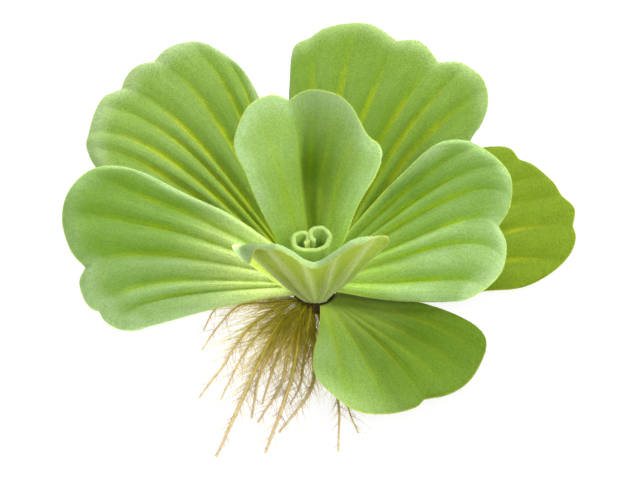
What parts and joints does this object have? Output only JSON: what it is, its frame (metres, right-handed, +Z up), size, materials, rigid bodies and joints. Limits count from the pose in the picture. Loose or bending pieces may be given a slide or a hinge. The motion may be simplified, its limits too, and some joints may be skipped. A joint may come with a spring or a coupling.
{
  "type": "water lettuce plant",
  "caption": "Floating rosette plant with broad, fan-pleated velvety leaves on a short stem and thin feathery roots spread beneath, resting upright on a flat surface.",
  "frame": {"origin": "middle of the flat underside of the stem, on the surface that the plant rests on", "axes": "+Z up out of the rosette, +X to the right and +Y to the back as seen in the picture"},
  "size_m": [0.1459, 0.1312, 0.0542],
  "materials": {
    "velvety_leaf": "matte, finely hairy",
    "older_leaf": "matte, finely hairy",
    "young_leaf": "matte, finely hairy",
    "pale_leaf_underside": "matte, finely hairy",
    "stem_crown": "rough, fibrous",
    "straw_root": "matte, slightly translucent"
  },
  "bodies": {
    "root": {"stem": "stem_crown", "leaf_back_left": "velvety_leaf", "leaf_left": "velvety_leaf", "leaf_back_right": "velvety_leaf", "leaf_right": "velvety_leaf", "leaf_far_right": "older_leaf", "leaf_front_right": "velvety_leaf", "leaf_upright": "velvety_leaf", "leaf_small_front": "pale_leaf_underside", "leaf_rolled": "young_leaf", "root_01": "straw_root", "root_02": "straw_root", "root_03": "straw_root", "root_04": "straw_root", "root_05": "straw_root", "root_06": "straw_root", "root_07": "straw_root", "root_08": "straw_root", "root_09": "straw_root", "root_10": "straw_root", "root_11": "straw_root", "root_12": "straw_root", "root_13": "straw_root", "root_14": "straw_root", "root_15": "straw_root", "root_16": "straw_root", "root_17": "straw_root", "root_18": "straw_root", "root_19": "straw_root", "root_20": "straw_root", "root_21": "straw_root"}
  },
  "joints": []
}
